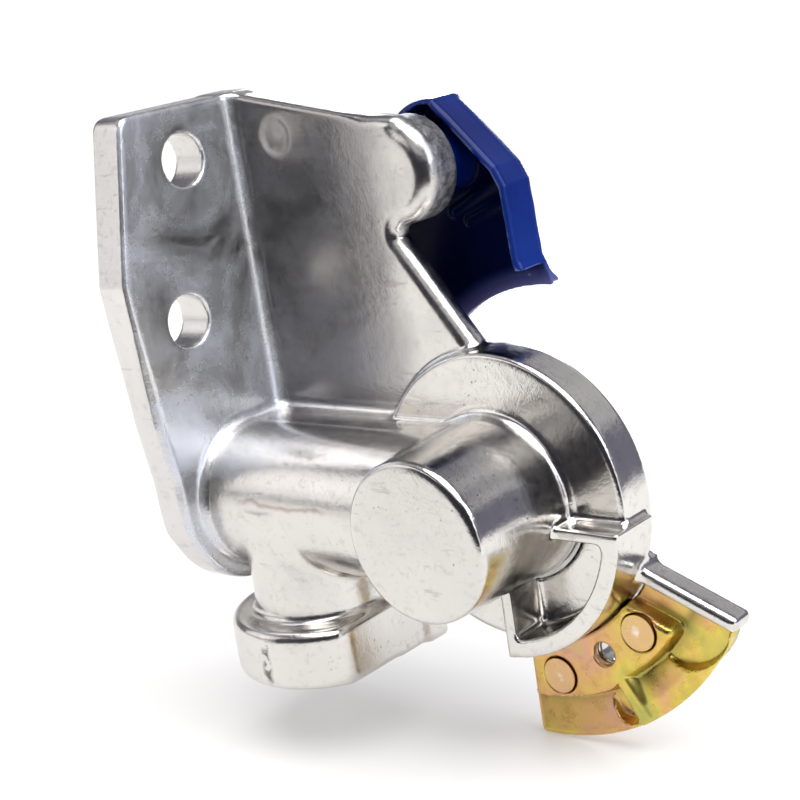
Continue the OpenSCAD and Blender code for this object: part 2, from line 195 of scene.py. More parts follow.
def cut(a, b, r=0.0):
    """The first shape without the second."""
    return meet(a, -b, r)


def shared(*fields):
    """What all the shapes share, with sharp edges."""
    return functools.reduce(np.maximum, fields)


def slab(t, t0, t1):
    """The space between two parallel planes."""
    return np.abs(t - (t0 + t1) / 2) - (t1 - t0) / 2


def away(u, v, point):
    """Distance from a point, seen along the third direction."""
    return np.hypot(u - point[0], v - point[1])


def turned(u, v, origin, angle):
    """Coordinates along and across a direction, counted from origin."""
    c, s = math.cos(deg(angle)), math.sin(deg(angle))
    return (u - origin[0]) * c + (v - origin[1]) * s, -(u - origin[0]) * s + (v - origin[1]) * c


def smooth(t, a, b):
    """0 up to a, 1 from b, and an S-curve between."""
    t = np.clip((t - a) / (b - a), 0, 1)
    return t * t * (3 - 2 * t)


def poly(u, v, pts, r=0.0):
    """Signed distance to a closed polygon, grown by r with round corners."""
    d = np.full(np.broadcast(u, v).shape, 1e9)
    sign = np.ones_like(d)
    for (ax, ay), (bx, by) in zip(pts, [pts[-1]] + pts[:-1]):
        ex, ey = bx - ax, by - ay
        wx, wy = u - ax, v - ay
        t = np.clip((wx * ex + wy * ey) / (ex * ex + ey * ey), 0, 1)
        qx, qy = wx - ex * t, wy - ey * t
        d = np.minimum(d, qx * qx + qy * qy)
        above, below, left = v >= ay, v < by, ex * wy > ey * wx
        crossed = (above & below & left) | (~above & ~below & ~left)
        sign = np.where(crossed, -sign, sign)
    return sign * np.sqrt(d) - r


def inset(pts, r):
    """A convex polygon drawn in by r, for poly() to grow back with round corners."""
    before = [pts[-1]] + pts[:-1]
    after = pts[1:] + [pts[0]]
    area = sum(p[0] * q[1] - q[0] * p[1] for p, q in zip(before, pts))
    turn = 1 if area > 0 else -1
    out = []
    for p, q, s in zip(before, pts, after):
        p, q, s = np.array(p), np.array(q), np.array(s)
        e1, e2 = (q - p) / np.linalg.norm(q - p), (s - q) / np.linalg.norm(s - q)
        n1, n2 = turn * np.array([-e1[1], e1[0]]), turn * np.array([-e2[1], e2[0]])
        out.append(tuple(q + (n1 + n2) * r / max(0.3, (1 + n1 @ n2))))
    return out


# ---------------------------------------------------------------- from a field to a mesh
CORNERS = np.array([(i, j, k) for i in (0, 1) for j in (0, 1) for k in (0, 1)])


def crossings(f, cells):
    """For each cell, the mean of the points where the field changes sign along the cell's edges."""
    total = np.zeros((len(cells), 3))
    count = np.zeros(len(cells))
    for a, b in itertools.combinations(CORNERS, 2):
        if abs(a - b).sum() != 1:
            continue
        fa = f[tuple((cells + a).T)]
        fb = f[tuple((cells + b).T)]
        hit = (fa < 0) != (fb < 0)
        t = np.where(hit, fa / np.where(hit, fa - fb, 1), 0)
        total += np.where(hit[:, None], a + t[:, None] * (b - a), 0)
        count += hit
    return cells + total / count[:, None]


def quads_round(inside, index, axis):
    """One quad round each grid edge along the axis that has its ends on different sides."""
    step = [int(a == axis) for a in range(3)]
    first = tuple(slice(0, n - s) for n, s in zip(inside.shape, step))
    second = tuple(slice(s, n) for n, s in zip(inside.shape, step))
    edges = np.argwhere(inside[first] != inside[second])
    p, q = [a for a in range(3) if a != axis]
    for a in (p, q):
        edges = edges[(edges[:, a] > 0) & (edges[:, a] < inside.shape[a] - 1)]

    def cell(back_p, back_q):
        c = edges.copy()
        c[:, p] -= back_p
        c[:, q] -= back_q
        return index[tuple(c.T)]

    ring = np.stack([cell(0, 0), cell(1, 0), cell(1, 1), cell(0, 1)], 1)
    forward = inside[tuple(edges.T)]
    if axis == 1:
        forward = ~forward
    return np.where(forward[:, None], ring, ring[:, ::-1])


def sample(f, p):
    """The field at points between those of the grid."""
    i = np.clip(np.floor(p).astype(int), 0, np.array(f.shape) - 2)
    w = p - i
    value = 0
    for c in CORNERS:
        share = np.prod([w[:, a] if c[a] else 1 - w[:, a] for a in range(3)], axis=0)
        value = value + share * f[tuple((i + c).T)]
    return value


def onto_surface(f, pts, rounds=3):
    """Points drawn along the field's slope onto its zero level. Lengths are in cells."""
    reach, longest, tiny = 0.35, 0.4, 1e-9
    for _ in range(rounds):
        slope = np.stack([(sample(f, pts + reach * e) - sample(f, pts - reach * e)) / (2 * reach)
                          for e in np.eye(3)], 1)
        move = -(sample(f, pts) / ((slope ** 2).sum(1) + tiny))[:, None] * slope
        size = np.linalg.norm(move, axis=1, keepdims=True)
        pts = pts + move * np.minimum(1, longest / (size + tiny))
    return pts


def add_object(name, data):
    """A new object in the scene."""
    ob = bpy.data.objects.new(name, data)
    bpy.context.scene.collection.objects.link(ob)
    return ob


def net(g, field, name):
    """The field's zero level as a smooth mesh, by surface nets."""
    f = field.astype(np.float32)
    inside = f < 0
    filled = np.zeros([n - 1 for n in f.shape], np.uint8)
    nx, ny, nz = filled.shape
    for i, j, k in CORNERS:
        filled += inside[i:nx + i, j:ny + j, k:nz + k]
    cells = np.argwhere((filled > 0) & (filled < len(CORNERS)))
    index = np.full(filled.shape, -1, np.int64)
    index[tuple(cells.T)] = np.arange(len(cells))
    pts = onto_surface(f, crossings(f, cells))
    quads = np.concatenate([quads_round(inside, index, axis) for axis in range(3)])
    quads = quads[(quads >= 0).all(1)]
    me = bpy.data.meshes.new(name)
    me.from_pydata(((pts * g.step + g.low) * MM).tolist(), [], quads.tolist())
    me.validate()
    me.update()
    ob = add_object(name, me)
    me.shade_smooth()
    return ob


# ---------------------------------------------------------------- casting
def wall_plate(x, y, z):
    """The bolted plate, with straight edges above and a round foot below."""
    outline = inset([(-14.5, PLATE_TOP), (FACE_Y, PLATE_TOP), (FACE_Y, HEAD_Z), (TUBE_Y, HEAD_Z - 22.5),
                     (TUBE_Y - 24, HEAD_Z - 6), (-20.4, -44.5), (-22.8, -7.2)], PLATE_CORNER_R)
    flat = join(poly(y, z, outline, PLATE_CORNER_R), away(y, z, TUBE) - PLATE_FOOT_R, 3)
    return meet(flat, slab(x, 0, PLATE_T), 1.3 + 1.2 * smooth(-z, 10, 40))


def web(x, y, z, boss):
    """The web between plate, boss, disc and collar, bull-nosed where it slants to the disc."""
    outline = [(1, PLATE_TOP), (8.7, PLATE_TOP), (PIVOT_X + 3, PIVOT_Z + 12.8), PIVOT,
               (PIVOT_X - 0.7, -5.3), (81.8, -33), HEAD, (COLLAR_RIGHT, HEAD_Z), (COLLAR_RIGHT, COLLAR_Z),
               (15, COLLAR_Z), (15, HEAD_Z), (1, HEAD_Z)]
    nose = 1.1 + (2.4 + 1.5 * smooth(z, -6, 2)) * smooth(x, 48, 58) * smooth(-z, -31, -20)
    return meet(join(poly(x, z, outline), boss, 3.0), slab(y, WEB_Y, FACE_Y), nose)


def tube_and_port(x, y, z):
    """The tube with its flat ledge towards the web, and the hose port's neck and collar under it."""
    tube = meet(away(y, z, TUBE) - TUBE_R, slab(x, 1, HEAD_X - 8))
    ledge = shared(slab(x, 1, HEAD_X - 3), slab(y, TUBE_Y, 27), slab(z, HEAD_Z, HEAD_Z + TUBE_R - 0.3))
    neck = meet(away(x, y, PORT) - NECK_R, slab(z, COLLAR_Z + 4, HEAD_Z))
    height = slab(z, COLLAR_Z, COLLAR_Z + COLLAR_H)
    collar = meet(away(x, y, PORT) - COLLAR_R, height, 2.6)
    block = meet(shared(slab(x, 15, 90), slab(y, 12, FACE_Y)), height, 1.2)
    collar = join(collar, block, 1.0)
    collar = meet(meet(collar, x - COLLAR_RIGHT, 1.6), y - FACE_Y, 1.0)
    return join(join(tube, ledge), join(neck, collar, 2.2), 2.0)


def guard_and_pocket(x, y, z, r):
    """The half-moon guard round the housing's open side, and the pocket inside it."""
    outer = shared(r - GUARD_R, z - GUARD_Z, GUARD_X - x)
    inner = meet(meet(r - GUARD_IN_R, z - GUARD_Z + GUARD_WALL, 2.0), GUARD_X + GUARD_WALL - x, 2.0)
    return meet(outer, slab(y, GUARD_Y, 28), 0.7), meet(inner, slab(y, 10, POCKET_Y), 2.0)


def ear_and_arm(x, y, z, r):
    """The flat ear that carries the detent sheet, and the stop arm at its end."""
    angle = np.arctan2(z - HEAD_Z, x - HEAD_X)
    along, across = turned(x, z, ARM_START, ARM_ANGLE)
    end = (angle - deg(EAR_END)) * r
    ear = shared(r - EAR_R, EAR_IN_R - r, EAR_LEFT - x, end, across + EAR_DROP)
    root = shared(r - EAR_ROOT_R, EAR_IN_R - r, end, (deg(EAR_ROOT_END) - angle) * r)
    ear = meet(np.minimum(ear, root), slab(y, EAR_Y, FACE_Y), 0.6)
    arm = meet(meet(slab(along, -8, ARM_L), slab(across, -ARM_T, 0), 1.5), slab(y, ARM_Y, FACE_Y), 1.7)
    return ear, arm


def bored(d, x, y, z, r):
    """The casting with its bolt holes, passages, filter chamber, seal seat, pivot and rivet holes."""
    for bolt in BOLTS:
        d = cut(d, away(y, z, bolt) - BOLT_R, 0.5)
    rear = away(y, z, TUBE)
    d = cut(d, shared(rear - THREAD_R, slab(x, -5, 11.1)), 0.4)
    d = cut(d, shared(rear - PASSAGE_R, slab(x, -5, HEAD_X - 10)), 0.2)
    hose = away(x, y, PORT)
    chamfer = np.maximum(0, COLLAR_Z + 1.2 - z)
    d = cut(d, shared(hose - THREAD_R - chamfer, slab(z, COLLAR_Z - 5, COLLAR_Z + COLLAR_H)), 0.2)
    d = cut(d, shared(hose - PASSAGE_R, slab(z, COLLAR_Z - 5, HEAD_Z)), 0.2)
    for radius, y0 in SEAT_BORES:
        d = cut(d, shared(r - radius, slab(y, y0, 40)), 0.15)
    d = cut(d, shared(away(x, z, PIVOT) - PIN_HOLE_R, slab(y, PIN_HOLE_Y, 40)), 0.2)
    for hole in RIVETS + [LOCATING_HOLE]:
        d = cut(d, shared(away(x, z, spot(HEAD, *hole)) - CAST_HOLE_R, slab(y, 20, 40)), 0.2)
    return d


def casting():
    """The whole casting, built up piece by piece and then bored."""
    g = Grid((-1.5, -24.5, CAST_FOOT - 1.5), (148.5, 37, PLATE_TOP + 1.5), CAST_STEP)
    x, y, z = g.x, g.y, g.z
    r = away(x, z, HEAD)
    boss = away(x, z, PIVOT) - BOSS_R
    d = join(wall_plate(x, y, z), web(x, y, z, boss), 4.0)
    d = meet(d, z - PLATE_TOP, 0.9)
    d = meet(meet(d, -x, 0.8), y - FACE_Y, 0.8)
    d = join(d, meet(shared(boss, BOSS_ROOT_Y - y), y - BOSS_Y, 0.8))
    d = join(d, tube_and_port(x, y, z), 3.2)
    d = join(d, meet(r - DISC_R, slab(y, DISC_Y, FACE_Y), 1.4), 1.4)
    side = HOUSING_R + HOUSING_DRAFT * (y - HOUSING_Y) / HOUSING_L
    housing = meet(r - side, slab(y, HOUSING_Y, 26), 1.7)
    d = join(d, housing, 0.9 + 1.5 * smooth(y, 15, 18))
    guard, pocket = guard_and_pocket(x, y, z, r)
    ear, arm = ear_and_arm(x, y, z, r)
    d = join(d, guard, 1.6)
    d = join(d, ear, 1.0)
    d = join(d, arm, 2.4)
    # The fillets swell past the flat rear and seal sides, which are trimmed again, all but the boss
    d = shared(d, -x, np.where(boss < 3, y - BOSS_Y, y - FACE_Y))
    d = np.minimum(cut(d, pocket, 0.8), housing)
    d = bored(d, x, y, z, r)
    # Round ejector mark, dished into the web's front
    mark = 0.28 * (1 - smooth(away(x, z, (25.5, 22.1)), 3.4, 6.0))
    return net(g, d + mark * (y < 27), "casting")


body = casting()
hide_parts("body_casting")
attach(body, "coupler")


# ---------------------------------------------------------------- detent sheet
def channel_depth(x, z):
    """How far the sheet is pressed back behind the raised strip and the radial ridge."""
    r = away(x, z, HEAD)
    angle = np.degrees(np.arctan2(z - HEAD_Z, x - HEAD_X))
    along, across = turned(x, z, ARM_START, ARM_ANGLE)
    strip_edge = 54.3 - 1.7 * smooth(angle, -66, -58)
    strip = meet(r - strip_edge, across + 12.9, 0.8)
    ridge = np.abs(r * np.radians(angle - RIDGE_ANGLE)) - RIDGE_HALF
    raised = join(strip, shared(ridge, r - 66.5), 0.8)
    left_side = angle < RIDGE_ANGLE
    depth = np.where(left_side, 4.2, 4.6) * smooth(raised, 0.0, np.where(left_side, 1.6, 2.4))
    # The channel runs out to the rim, but stays deep in a notch beside the ridge and a bowl by the arm
    run_out = np.where(left_side, 1 - 0.80 * np.clip((r - 55.5) / 9.5, 0, 1),
                       1 - 0.72 * np.clip((r - 53.5) / 8.0, 0, 1))
    run_out = run_out * np.where(left_side, 1, 0.55 + 0.45 * smooth(angle, -58, -47))
    notch = 1 - smooth(away(x, z, spot(HEAD, 59.6, -63.7)), 4.6, 5.9)
    bowl = meet(away(along, across, (12.5, -7.7)) - 14.2, 11.3 - along, 3.0)
    bowl = 1 - smooth(bowl, -0.8, 0.8)
    return depth * shared(run_out, notch * left_side, bowl)


def detent():
    """The pressed sheet on the ear, with its raised strip, ridge, channel, notch and bowl."""
    g = Grid((79, 21.5, HEAD_Z - 68), (148.5, 33.5, HEAD_Z - 14), SHEET_STEP)
    x, y, z = g.x, g.y, g.z
    x2, z2 = x[:, 0, :], z[:, 0, :]
    r = away(x2, z2, HEAD)
    _, across = turned(x2, z2, ARM_START, ARM_ANGLE)
    depth = channel_depth(x2, z2)
    # A skin of even thickness behind the pressed front, thinned where the front is steep
    front = SHEET_Y + depth
    half = 1.2
    steep = np.sqrt(1 + sum(slope ** 2 for slope in np.gradient(front, g.step)))
    middle = (front + half * np.minimum(steep, 2.0))[:, None, :]
    skin = (np.abs(y - middle) / np.minimum(steep, 2.6)[:, None, :]) - half
    flat = meet(shared(r - SHEET_R, 39.8 - r), across + 4.35, 2.0)
    flat = meet(flat, EAR_LEFT - 0.82 * np.minimum(depth, 4.2) - x2, 1.6)
    d = meet(skin, flat[:, None, :], 0.8)
    d = shared(d, y - FACE_Y)
    for rivet in RIVETS:
        q = away(x, z, spot(HEAD, *rivet))
        d = cut(d, shared(q - RIVET_SEAT_R, y - 25.0), 0.2)
        d = cut(d, q - SHEET_HOLE_R, 0.1)
    d = cut(d, away(x, z, SHEET_LOCATING_HOLE) - SHEET_HOLE_R, 0.4)
    return net(g, d, "detent_sheet")


plate_piece = detent()
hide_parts("detent_plate")
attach(plate_piece, "coupler")


# ---------------------------------------------------------------- dust cover
def rod(x, y, z, start, end, level, radius):
    """A round rod with ball ends, lying at y = level."""
    ex, ez = end[0] - start[0], end[1] - start[1]
    t = np.clip(((x - start[0]) * ex + (z - start[1]) * ez) / (ex * ex + ez * ez), 0, 1)
    return np.sqrt((x - start[0] - t * ex) ** 2 + (z - start[1] - t * ez) ** 2 + (y - level) ** 2) - radius


def pan_outline(x, z, from_head, cap):
    """The cover seen along Y: hub, slanting sides and cap, cut away round the seal."""
    left = math.degrees(math.atan2(CAP_Z - PIVOT_Z, CAP_X - PIVOT_X)) - 86
    pts = [(65, 26.3), (69.8, 21.8), (82.1, 9), (84.5, 4), (85, -5), (85.5, -15), (88.4, -22), HEAD,
           (CAP_X + 14, CAP_Z - 6), spot(CAP, 21.6, left), spot(PIVOT, 15.3, left),
           (PIVOT_X - 1, PIVOT_Z + 15.2)]
    crown = shared(away(x, z, PIVOT) - 15.6, x - 65)
    flat = join(poly(x, z, pts), crown, 1.0)
    return join(meet(flat, SEAL_EDGE_R - from_head, 0.6), cap, 3.0)


def cover():
    """The pressed cover: a shallow pan with a hub at one end and a drawn cap at the other."""
    g = Grid((0, 34.5, CAP_Z - 24), (91, 56, PIVOT_Z + 17.5), COVER_STEP)
    x, y, z = g.x, g.y, g.z
    from_head = away(x, z, HEAD)
    from_cap = away(x, z, CAP)
    hub = away(x, z, PIVOT)
    cap = from_cap - 22
    pan = pan_outline(x, z, from_head, cap)
    # Floor, rolled away from the seal along the concave edge
    lip = 2.4 * (1 - smooth(from_head, 46.4, 51.2)) * smooth(cap, 0, 4)
    sheet = shared(np.abs(y - (49.5 + lip) - 1.0) - 1.0, pan + 0.4)
    # Side wall, which is left out along the concave edge
    skin = meet(pan, shared(y - 51.5, COVER_Y - y), 1.9)
    hollow = meet(pan + 1.8, y - FLOOR_Y, 1.0)
    open_side = np.where((from_head < 52.6) & (cap > 0.5), -1.0, 1.0)
    wall = cut(skin, hollow)
    wall = cut(wall, shared(open_side, y - 49.4))
    wall = cut(wall, shared(open_side, RIM_Y - y))
    d = join(wall, sheet, 0.8)
    # Two stiffening ridges from the hub to the wall
    d = join(d, rod(x, y, z, (60.5, -3.6), (76.0, 4.2), FLOOR_Y, 1.5), 1.2)
    d = join(d, rod(x, y, z, (65.0, -6.0), (77.0, -1.4), FLOOR_Y, 1.3), 1.2)
    # Hub with its stop tab, and the drawn cap that holds the pad
    d = join(d, meet(hub - HUB_R, slab(y, HUB_Y, RIM_Y), 0.6), 1.6)
    along, across = turned(x, z, PIVOT, 89)
    tab = meet(shared(slab(along, 2, 12), np.abs(across) - 2.0), slab(y, 36.25, 39.1), 0.4)
    d = join(d, tab, 0.5)
    d = join(d, meet(from_cap - CAP_R, slab(y, CAP_Y, RIM_Y), 1.5), 0.8)
    d = cut(d, meet(from_cap - PAD_R, PAD_Y - y, 1.4), 0.5)
    d = cut(d, hub - BUSH_R, 0.2)
    d = cut(d, from_cap - PAD_RIVET_R, 0.1)
    return net(g, d, "cover_shell")


shell = cover()
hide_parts("dust_cover")
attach(shell, "cover")


# ---------------------------------------------------------------- materials
class Nodes:
    """A node tree with short ways to fill it. A value is a number, a colour or an output socket."""

    def __init__(self, tree):
        self.tree = tree

    def feed(self, socket, value):
        """Sets an input to a number or a colour, or links it to an output."""
        if isinstance(value, (int, float)):
            socket.default_value = value
        elif isinstance(value, tuple):
            socket.default_value = (*value, 1)
        else:
            self.tree.links.new(value, socket)

    def calc(self, operation, *values):
        n = self.tree.nodes.new("ShaderNodeMath")
        n.operation = operation
        for socket, value in zip(n.inputs, values):
            self.feed(socket, value)
        return n.outputs[0]

    def add(self, *values):
        return functools.reduce(functools.partial(self.calc, "ADD"), values)

    def times(self, *values):
        return functools.reduce(functools.partial(self.calc, "MULTIPLY"), values)

    def less(self, value, taken):
        return self.calc("SUBTRACT", value, taken)

    def mix(self, amount, a, b, mode="MIX"):
        n = self.tree.nodes.new("ShaderNodeMix")
        n.data_type = "RGBA"
        n.blend_type = mode
        for socket, value in zip((n.inputs["Factor"], n.inputs[6], n.inputs[7]), (amount, a, b)):
            self.feed(socket, value)
        return n.outputs[2]

    def ramp(self, value, *stops):
        """Colours at the given positions, each between 0 and 1."""
        n = self.tree.nodes.new("ShaderNodeValToRGB")
        elements = n.color_ramp.elements
        for element, (position, colour) in zip(elements, (stops[0], stops[-1])):
            element.position = position
            element.color = (*colour, 1)
        for position, colour in stops[1:-1]:
            elements.new(position).color = (*colour, 1)
        self.feed(n.inputs["Fac"], value)
        return n.outputs["Color"]

    def grey(self, value, *stops):
        """Grey levels at the given positions."""
        return self.ramp(value, *((position, (level,) * 3) for position, level in stops))

    def zone(self, coordinate, *stops, span=100, stray=None):
        """Grey levels at places in mm along a coordinate. stray moves the places, as a part of span."""
        along = self.times(coordinate, 1 / (span * MM))
        if stray is not None:
            along = self.add(along, stray)
        return self.grey(along, *((mm / span, level) for mm, level in stops))

    def noise(self, vector, scale, detail=3.0, rough=0.5, distort=0.0):
        n = self.tree.nodes.new("ShaderNodeTexNoise")
        n.inputs["Scale"].default_value = scale
        n.inputs["Detail"].default_value = detail
        n.inputs["Roughness"].default_value = rough
        n.inputs["Distortion"].default_value = distort
        self.feed(n.inputs["Vector"], vector)
        return n.outputs["Fac"]


class Surface(Nodes):
    """A new material, patterned in the piece's own coordinates."""

    def __init__(self, name):
        self.material = bpy.data.materials.new(name)
        self.material.use_nodes = True
        super().__init__(self.material.node_tree)
        self.shader = self.tree.nodes["Principled BSDF"]

    def set(self, name, value):
        self.feed(self.shader.inputs[name], value)

    def coords(self, scale=(1, 1, 1), rotation=(0, 0, 0)):
        texture = self.tree.nodes.new("ShaderNodeTexCoord")
        mapping = self.tree.nodes.new("ShaderNodeMapping")
        mapping.inputs["Scale"].default_value = scale
        mapping.inputs["Rotation"].default_value = rotation
        self.feed(mapping.inputs["Vector"], texture.outputs["Object"])
        return mapping.outputs["Vector"]

    @functools.cached_property
    def place(self):
        return self.coords()

    @functools.cached_property
    def geometry(self):
        return self.tree.nodes.new("ShaderNodeNewGeometry").outputs

    def parts(self, vector):
        """The vector's x, y and z."""
        n = self.tree.nodes.new("ShaderNodeSeparateXYZ")
        self.feed(n.inputs[0], vector)
        return n.outputs["X"], n.outputs["Y"], n.outputs["Z"]

    def grain(self, scale, detail=3.0, rough=0.5, distort=0.0):
        return self.noise(self.place, scale, detail, rough, distort)

    def off_axis(self, point):
        """Distance from the axis along Y through a point's x and z."""
        x, _, z = self.parts(self.place)
        dx = self.less(x, point[0] * MM)
        dz = self.less(z, point[1] * MM)
        return self.calc("SQRT", self.add(self.times(dx, dx), self.times(dz, dz)))

    def bump(self, height, strength, distance):
        n = self.tree.nodes.new("ShaderNodeBump")
        n.inputs["Strength"].default_value = strength
        n.inputs["Distance"].default_value = distance
        self.feed(n.inputs["Height"], height)
        self.set("Normal", n.outputs["Normal"])


WHITE = (1, 1, 1)


def pits(s):
    """Small pits, only in some places."""
    cells = s.tree.nodes.new("ShaderNodeTexVoronoi")
    cells.inputs["Scale"].default_value = 420
    s.feed(cells.inputs["Vector"], s.place)
    pit = s.grey(cells.outputs["Distance"], (0.0, 1), (0.15, 0))
    return s.mix(1.0, pit, s.grey(s.grain(75, 3, 0.6), (0.50, 0), (0.60, 1)), "MULTIPLY")


def oxide_and_sky_sheen(s):
    """Pale oxide over the plate's outward face, thicker lower down, with a painted bluish sheen of the light
    that face catches.
    """
    x, _, z = s.parts(s.place)
    lower = s.zone(z, (-10, 0), (-45, 0.10), span=-100)
    cloud = s.grey(s.add(s.grain(34, 5, 0.65, 0.8), lower), (0.36, 0.1), (0.66, 1))
    on_plate = s.zone(x, (11.8, 1), (15, 0))
    faces_out = s.grey(s.parts(s.geometry["Normal"])[0], (0.2, 0.25), (0.7, 1))
    return s.times(cloud, on_plate, faces_out)


def web_shade(s):
    """Painted shade on the front of the web next to the plate, which the plate and tube hide from the bright
    floor.
    """
    x, y, _ = s.parts(s.place)
    edge = s.times(s.grain(60, 4, 0.6), 0.10)
    faces_front = s.grey(s.times(s.parts(s.geometry["Normal"])[1], -1.0), (0.5, 0), (0.9, 1))
    return s.times(s.zone(x, (15, 0), (20, 1), (60, 0.9), (70, 0), stray=edge), faces_front,
                   s.zone(y, (22, 0), (23.2, 1)))


def seam_and_flash(s):
    """The parting line along the tube's front, and the flash mark down the collar's side."""
    x, y, z = s.parts(s.place)
    wave = s.times(s.less(s.grain(120, 3, 0.6), 0.5), 0.05)
    seam = s.times(s.zone(z, (-65.5, 0), (-66.1, 1), (-66.5, 1), (-67.4, 0), span=-100, stray=wave),
                   s.zone(x, (22, 0), (28, 1), (52, 1), (56, 0)),
                   s.zone(y, (-6, 0), (-9, 1), span=-100))
    flash = s.times(s.zone(x, (30.5, 0), (31.5, 1), (32.5, 1), (33.5, 0), stray=s.times(wave, 1.2)),
                    s.zone(z, (-100, 0), (-102.5, 1), (-111.875, 1), (-113.75, 0), span=-125),
                    s.zone(y, (-12, 0), (-14, 1), span=-100),
                    s.grey(s.grain(240, 3, 0.6), (0.42, 0), (0.50, 1)))
    return seam, flash


def cast_metal():
    """Die-cast aluminium: bright, mottled, pitted and stained, with painted shade on the web and the pivot
    boss and a painted bluish sheen on the plate.
    """
    s = Surface("cast_aluminium")
    big = s.grain(16, 3, 0.5, 0.3)
    mid = s.grain(420, 5, 0.7, 0.4)
    fine = s.grain(1700, 3, 0.6)
    patch = s.grey(s.grain(90, 4, 0.6, 0.6), (0.46, 0), (0.60, 1))
    pit = pits(s)
    col = s.ramp(big, (0.3, (0.61, 0.590, 0.560)), (0.5, (0.675, 0.653, 0.620)), (0.7, (0.74, 0.716, 0.682)))
    col = s.mix(0.35, col, s.ramp(mid, (0.34, (0.60, 0.58, 0.57)), (0.46, WHITE)), "MULTIPLY")
    # Stained streaks: long thin marks that the mould left
    streak = s.noise(s.coords((0.35, 1, 1.6), (0.3, 0.2, 0.5)), 300, 3, 0.6, 0.3)
    streak = s.grey(streak, (0.30, 1), (0.36, 0))
    col = s.mix(s.times(streak, 0.35), col, (0.30, 0.26, 0.24))
    col = s.mix(s.times(pit, 0.6), col, (0.14, 0.13, 0.12))
    oxide_and_sheen = oxide_and_sky_sheen(s)
    # Painted shade darkens the web's front
    col = s.mix(s.times(web_shade(s), 0.62), col, (0.17, 0.16, 0.175))
    # Pale bluish oxide on the plate, with a painted sheen of skylight over it
    col = s.mix(s.times(oxide_and_sheen, 0.8), col, (0.60, 0.63, 0.71))
    seam, flash = seam_and_flash(s)
    col = s.mix(s.times(seam, 0.55), col, (0.33, 0.23, 0.19))
    col = s.mix(s.times(flash, 0.85), col, (0.07, 0.06, 0.055))
    # Painted dark shade on the pivot boss's as-cast side under the cover, which is rougher there too
    shaded_flank = s.times(s.zone(s.off_axis(PIVOT), (12, 0), (13.2, 1), (15, 1), (16.5, 0)),
                    s.zone(s.parts(s.place)[1], (25.2, 0), (27.5, 1)))
    dark = s.ramp(mid, (0.40, (0.07, 0.07, 0.085)), (0.62, (0.30, 0.30, 0.32)))
    s.set("Base Color", s.mix(s.times(shaded_flank, 0.9), col, dark))
    s.set("Metallic", s.less(1.0, s.times(oxide_and_sheen, 0.42)))
    # Duller on the plate and the web than on the tube and the round head
    off_head = s.zone(s.off_axis(HEAD), (38, 0), (44, 1))
    s.set("Roughness", s.add(s.times(mid, 0.12), s.times(off_head, 0.05), s.times(oxide_and_sheen, 0.10),
                             s.times(shaded_flank, 0.25), s.add(s.times(patch, 0.06), 0.07)))
    height = s.add(s.times(big, 2.2), s.times(mid, 0.16), s.times(fine, 0.06))
    height = s.less(s.less(height, s.times(pit, 0.12)), s.times(patch, 0.012))
    s.bump(height, 0.6, 0.0006)
    return s.material


def plated():
    """Yellow zinc plating, which plays from olive through gold to rose."""
    s = Surface("zinc_yellow")
    big = s.grain(42, 2, 0.5, 0.9)
    mid = s.grain(220, 4, 0.6, 0.5)
    col = s.ramp(big, (0.28, (0.36, 0.40, 0.13)), (0.37, (0.56, 0.49, 0.12)), (0.46, (0.70, 0.55, 0.12)),
                 (0.55, (0.70, 0.43, 0.16)), (0.64, (0.66, 0.37, 0.25)), (0.76, (0.52, 0.48, 0.14)))
    col = s.mix(0.25, col, s.ramp(mid, (0.35, (0.45, 0.3, 0.12)), (0.5, WHITE)), "MULTIPLY")
    # Painted olive shade in the bottom of the channel, along the strip
    root = s.zone(s.off_axis(HEAD), (52.5, 0), (54.2, 1), (58.5, 0))
    low = s.zone(s.parts(s.place)[1], (25, 0), (27, 1))
    col = s.mix(s.times(root, low, 0.65), col, (0.16, 0.13, 0.05))
    # Rosy rivet heads, each with a painted glint in its middle and a dark ring round it
    near = functools.reduce(functools.partial(s.calc, "MINIMUM"),
                            [s.off_axis(spot(HEAD, *rivet)) for rivet in RIVETS])
    col = s.mix(s.zone(near, (4.2, 0.5), (4.6, 0), span=10), col, (0.70, 0.46, 0.30))
    glint = s.zone(near, (2.8, 1), (4.2, 0), span=10, stray=s.times(mid, 0.5))
    col = s.mix(s.times(glint, 0.7), col, (0.88, 0.84, 0.78))
    ring = s.zone(near, (4.55, 0), (4.75, 1), (4.9, 1), (5.1, 0), span=10)
    s.set("Base Color", s.mix(s.times(ring, 0.75), col, (0.14, 0.06, 0.04)))
    s.set("Metallic", 1.0)
    s.set("Roughness", s.add(s.times(mid, 0.3), 0.16))
    s.bump(s.add(big, s.times(mid, 0.4)), 0.4, 0.0004)
    return s.material


